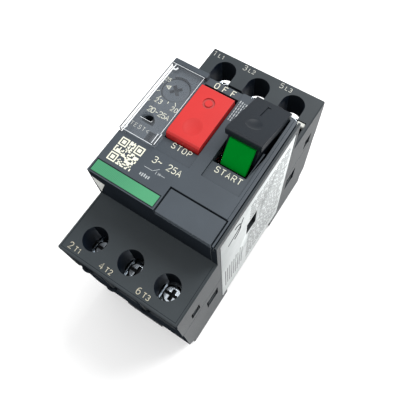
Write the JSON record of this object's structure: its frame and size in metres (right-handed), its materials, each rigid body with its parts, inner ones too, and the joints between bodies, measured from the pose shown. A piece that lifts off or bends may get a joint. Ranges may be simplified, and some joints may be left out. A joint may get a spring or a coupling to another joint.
{
  "type": "motor protection breaker",
  "caption": "Push-button motor protection breaker: DIN-rail casing, red and black rockers, setting dial under a clear flap, screw terminals at both ends.",
  "frame": {"origin": "centre of the rear plane", "axes": "+Z towards the front, +Y towards the line terminals, +X to the right seen from the front"},
  "size_m": [0.0446, 0.089, 0.0819],
  "materials": {
    "casing": "dark grey moulded, fine texture",
    "lid": "dark blue grey moulded",
    "black_parts": "black moulded",
    "stop_red": "red moulded",
    "flag_green": "green moulded",
    "strip_green": "green printed strip",
    "clear_flap": "clear polycarbonate",
    "label": "white film label",
    "steel": "zinc plated steel",
    "copper": "bare copper",
    "bimetal": "thermostatic bimetal",
    "moulding": "brown thermoset moulding"
  },
  "bodies": {
    "casing": {"rear_base": "casing", "main_housing": "casing", "front_cover": "lid", "aux_slot_cover": "lid", "green_marker_strip": "strip_green", "rating_label": "label", "button_pivot_pin": "steel", "mechanism_frame": "steel", "carrier_spring": "steel", "din_clip_spring": "steel", "line_conductor_1": "copper", "fixed_contact_1": "copper", "load_conductor_1": "copper", "arc_chute_1": "steel", "trip_coil_1": "copper", "bimetal_1": "bimetal", "line_conductor_2": "copper", "fixed_contact_2": "copper", "load_conductor_2": "copper", "arc_chute_2": "steel", "trip_coil_2": "copper", "bimetal_2": "bimetal", "line_conductor_3": "copper", "fixed_contact_3": "copper", "load_conductor_3": "copper", "arc_chute_3": "steel", "trip_coil_3": "copper", "bimetal_3": "bimetal"},
    "start_rocker": {"start_button": "black_parts", "start_flag": "flag_green"},
    "stop_rocker": {"stop_button": "stop_red"},
    "dial": {"adjustment_dial": "lid"},
    "slider": {"test_slider": "black_parts"},
    "trip_bar": {"trip_bar": "moulding"},
    "lever": {"latch_lever": "steel"},
    "carrier": {"contact_carrier": "moulding", "moving_contact_1": "copper", "contact_spring_1": "steel", "moving_contact_2": "copper", "contact_spring_2": "steel", "moving_contact_3": "copper", "contact_spring_3": "steel"},
    "flap": {"clear_cover": "clear_flap"},
    "clip": {"din_clip": "black_parts"},
    "clamp_1": {"terminal_clamp_1": "steel"},
    "screw_1": {"terminal_screw_1": "steel"},
    "clamp_2": {"terminal_clamp_2": "steel"},
    "screw_2": {"terminal_screw_2": "steel"},
    "clamp_3": {"terminal_clamp_3": "steel"},
    "screw_3": {"terminal_screw_3": "steel"},
    "clamp_4": {"terminal_clamp_4": "steel"},
    "screw_4": {"terminal_screw_4": "steel"},
    "clamp_5": {"terminal_clamp_5": "steel"},
    "screw_5": {"terminal_screw_5": "steel"},
    "clamp_6": {"terminal_clamp_6": "steel"},
    "screw_6": {"terminal_screw_6": "steel"}
  },
  "joints": [
    {"name": "contact_close", "type": "slide", "parent": "casing", "child": "carrier", "axis": [0, 0, -1], "range_m": [0, 0.0033], "deforming": ["carrier_spring"]},
    {"name": "start_press", "type": "hinge", "parent": "casing", "child": "start_rocker", "pos_m": [0.01295, 0.0195, 0.0675], "axis": [1, 0, 0], "range_deg": [0, 22]},
    {"name": "stop_release", "type": "hinge", "parent": "casing", "child": "stop_rocker", "pos_m": [-0.0035, 0.0195, 0.0675], "axis": [-1, 0, 0], "range_deg": [0, 11.1]},
    {"name": "lever_turn", "type": "hinge", "parent": "casing", "child": "lever", "pos_m": [0.0046, 0.0025, 0.056], "axis": [-1, 0, 0], "range_deg": [0, 19.5]},
    {"name": "dial_turn", "type": "hinge", "parent": "casing", "child": "dial", "pos_m": [-0.0163, 0.0137, 0.072], "axis": [0, 0, 1], "range_deg": [0, 150]},
    {"name": "test_slide", "type": "slide", "parent": "casing", "child": "slider", "axis": [-1, 0, 0], "range_m": [0, 0.0015], "stiffness_N_per_m": 200, "springref_m": -0.0005},
    {"name": "trip_slide", "type": "slide", "parent": "casing", "child": "trip_bar", "axis": [-1, 0, 0], "range_m": [0, 0.0015]},
    {"name": "flap_open", "type": "hinge", "parent": "casing", "child": "flap", "pos_m": [-0.021, 0.0069, 0.0736], "axis": [0, -1, 0], "range_deg": [0, 110]},
    {"name": "clip_release", "type": "slide", "parent": "casing", "child": "clip", "axis": [0, -1, 0], "range_m": [0, 0.0035], "stiffness_N_per_m": 300, "springref_m": -0.002, "deforming": ["din_clip_spring"]},
    {"name": "screw_turn_1", "type": "hinge", "parent": "clamp_1", "child": "screw_1", "pos_m": [-0.0136, 0.0374, 0.045], "axis": [0, 0, -1], "range_deg": [0, 1800]},
    {"name": "clamp_travel_1", "type": "slide", "parent": "casing", "child": "clamp_1", "axis": [0, 0, -1], "range_m": [0, 0.0035]},
    {"name": "screw_turn_2", "type": "hinge", "parent": "clamp_2", "child": "screw_2", "pos_m": [0, 0.0374, 0.045], "axis": [0, 0, -1], "range_deg": [0, 1800]},
    {"name": "clamp_travel_2", "type": "slide", "parent": "casing", "child": "clamp_2", "axis": [0, 0, -1], "range_m": [0, 0.0035]},
    {"name": "screw_turn_3", "type": "hinge", "parent": "clamp_3", "child": "screw_3", "pos_m": [0.0136, 0.0374, 0.045], "axis": [0, 0, -1], "range_deg": [0, 1800]},
    {"name": "clamp_travel_3", "type": "slide", "parent": "casing", "child": "clamp_3", "axis": [0, 0, -1], "range_m": [0, 0.0035]},
    {"name": "screw_turn_4", "type": "hinge", "parent": "clamp_4", "child": "screw_4", "pos_m": [-0.0136, -0.0363, 0.045], "axis": [0, 0, -1], "range_deg": [0, 1800]},
    {"name": "clamp_travel_4", "type": "slide", "parent": "casing", "child": "clamp_4", "axis": [0, 0, -1], "range_m": [0, 0.0035]},
    {"name": "screw_turn_5", "type": "hinge", "parent": "clamp_5", "child": "screw_5", "pos_m": [0, -0.0363, 0.045], "axis": [0, 0, -1], "range_deg": [0, 1800]},
    {"name": "clamp_travel_5", "type": "slide", "parent": "casing", "child": "clamp_5", "axis": [0, 0, -1], "range_m": [0, 0.0035]},
    {"name": "screw_turn_6", "type": "hinge", "parent": "clamp_6", "child": "screw_6", "pos_m": [0.0136, -0.0363, 0.045], "axis": [0, 0, -1], "range_deg": [0, 1800]},
    {"name": "clamp_travel_6", "type": "slide", "parent": "casing", "child": "clamp_6", "axis": [0, 0, -1], "range_m": [0, 0.0035]}
  ],
  "couplings": [
    {"joint": "start_press", "follows": "contact_close", "rad_per_m": 116.36},
    {"joint": "stop_release", "follows": "contact_close", "rad_per_m": 58.177},
    {"joint": "lever_turn", "follows": "contact_close", "rad_per_m": 102.04},
    {"joint": "trip_slide", "follows": "test_slide", "ratio": 1},
    {"joint": "screw_turn_1", "follows": "clamp_travel_1", "rad_per_m": 8975.9},
    {"joint": "screw_turn_2", "follows": "clamp_travel_2", "rad_per_m": 8975.9},
    {"joint": "screw_turn_3", "follows": "clamp_travel_3", "rad_per_m": 8975.9},
    {"joint": "screw_turn_4", "follows": "clamp_travel_4", "rad_per_m": 8975.9},
    {"joint": "screw_turn_5", "follows": "clamp_travel_5", "rad_per_m": 8975.9},
    {"joint": "screw_turn_6", "follows": "clamp_travel_6", "rad_per_m": 8975.9}
  ]
}
